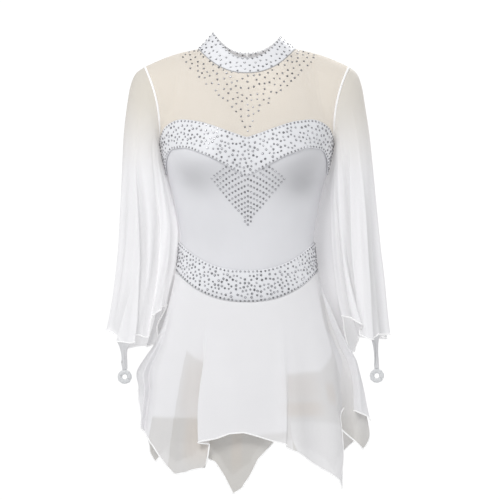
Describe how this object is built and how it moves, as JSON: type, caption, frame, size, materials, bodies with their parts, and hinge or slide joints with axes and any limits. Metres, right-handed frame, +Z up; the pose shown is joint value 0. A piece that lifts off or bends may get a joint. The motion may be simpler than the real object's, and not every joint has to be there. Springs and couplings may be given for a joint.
{
  "type": "dress",
  "caption": "Figure skating dress in white, filled out with no wearer: stoned collar and belt, sheer nude yoke, satin bodice, chiffon sleeves with finger loops and a handkerchief skirt",
  "frame": {"origin": "centre of the neck opening, at the height where the shoulder seams meet the collar", "axes": "+Z up, front of the dress faces -Y, +X to the right as seen from the front"},
  "size_m": [0.5389, 0.3629, 0.8643],
  "materials": {
    "satin": "smooth stretch satin",
    "stoned_satin": "white satin set with small stones",
    "nude_mesh": "sheer stretch mesh",
    "chiffon": "sheer chiffon with rolled hems",
    "elastic": "covered elastic cord",
    "stones": "small faceted glass stones"
  },
  "bodies": {
    "root": {"bodice_front": "satin", "bodice_back": "satin", "bust_band": "stoned_satin", "belt_front": "stoned_satin", "belt_back": "stoned_satin", "collar": "stoned_satin", "collar_button": "satin", "yoke_front": "nude_mesh", "yoke_back_left": "nude_mesh", "yoke_back_right": "nude_mesh", "brief_front": "satin", "brief_back": "satin", "skirt_upper_front": "chiffon", "skirt_upper_back": "chiffon", "skirt_under_front": "chiffon", "skirt_under_back": "chiffon", "sleeve_left": "chiffon", "sleeve_right": "chiffon", "finger_strap_left": "chiffon", "finger_strap_right": "chiffon", "finger_ring_left": "elastic", "finger_ring_right": "elastic"}
  },
  "joints": []
}
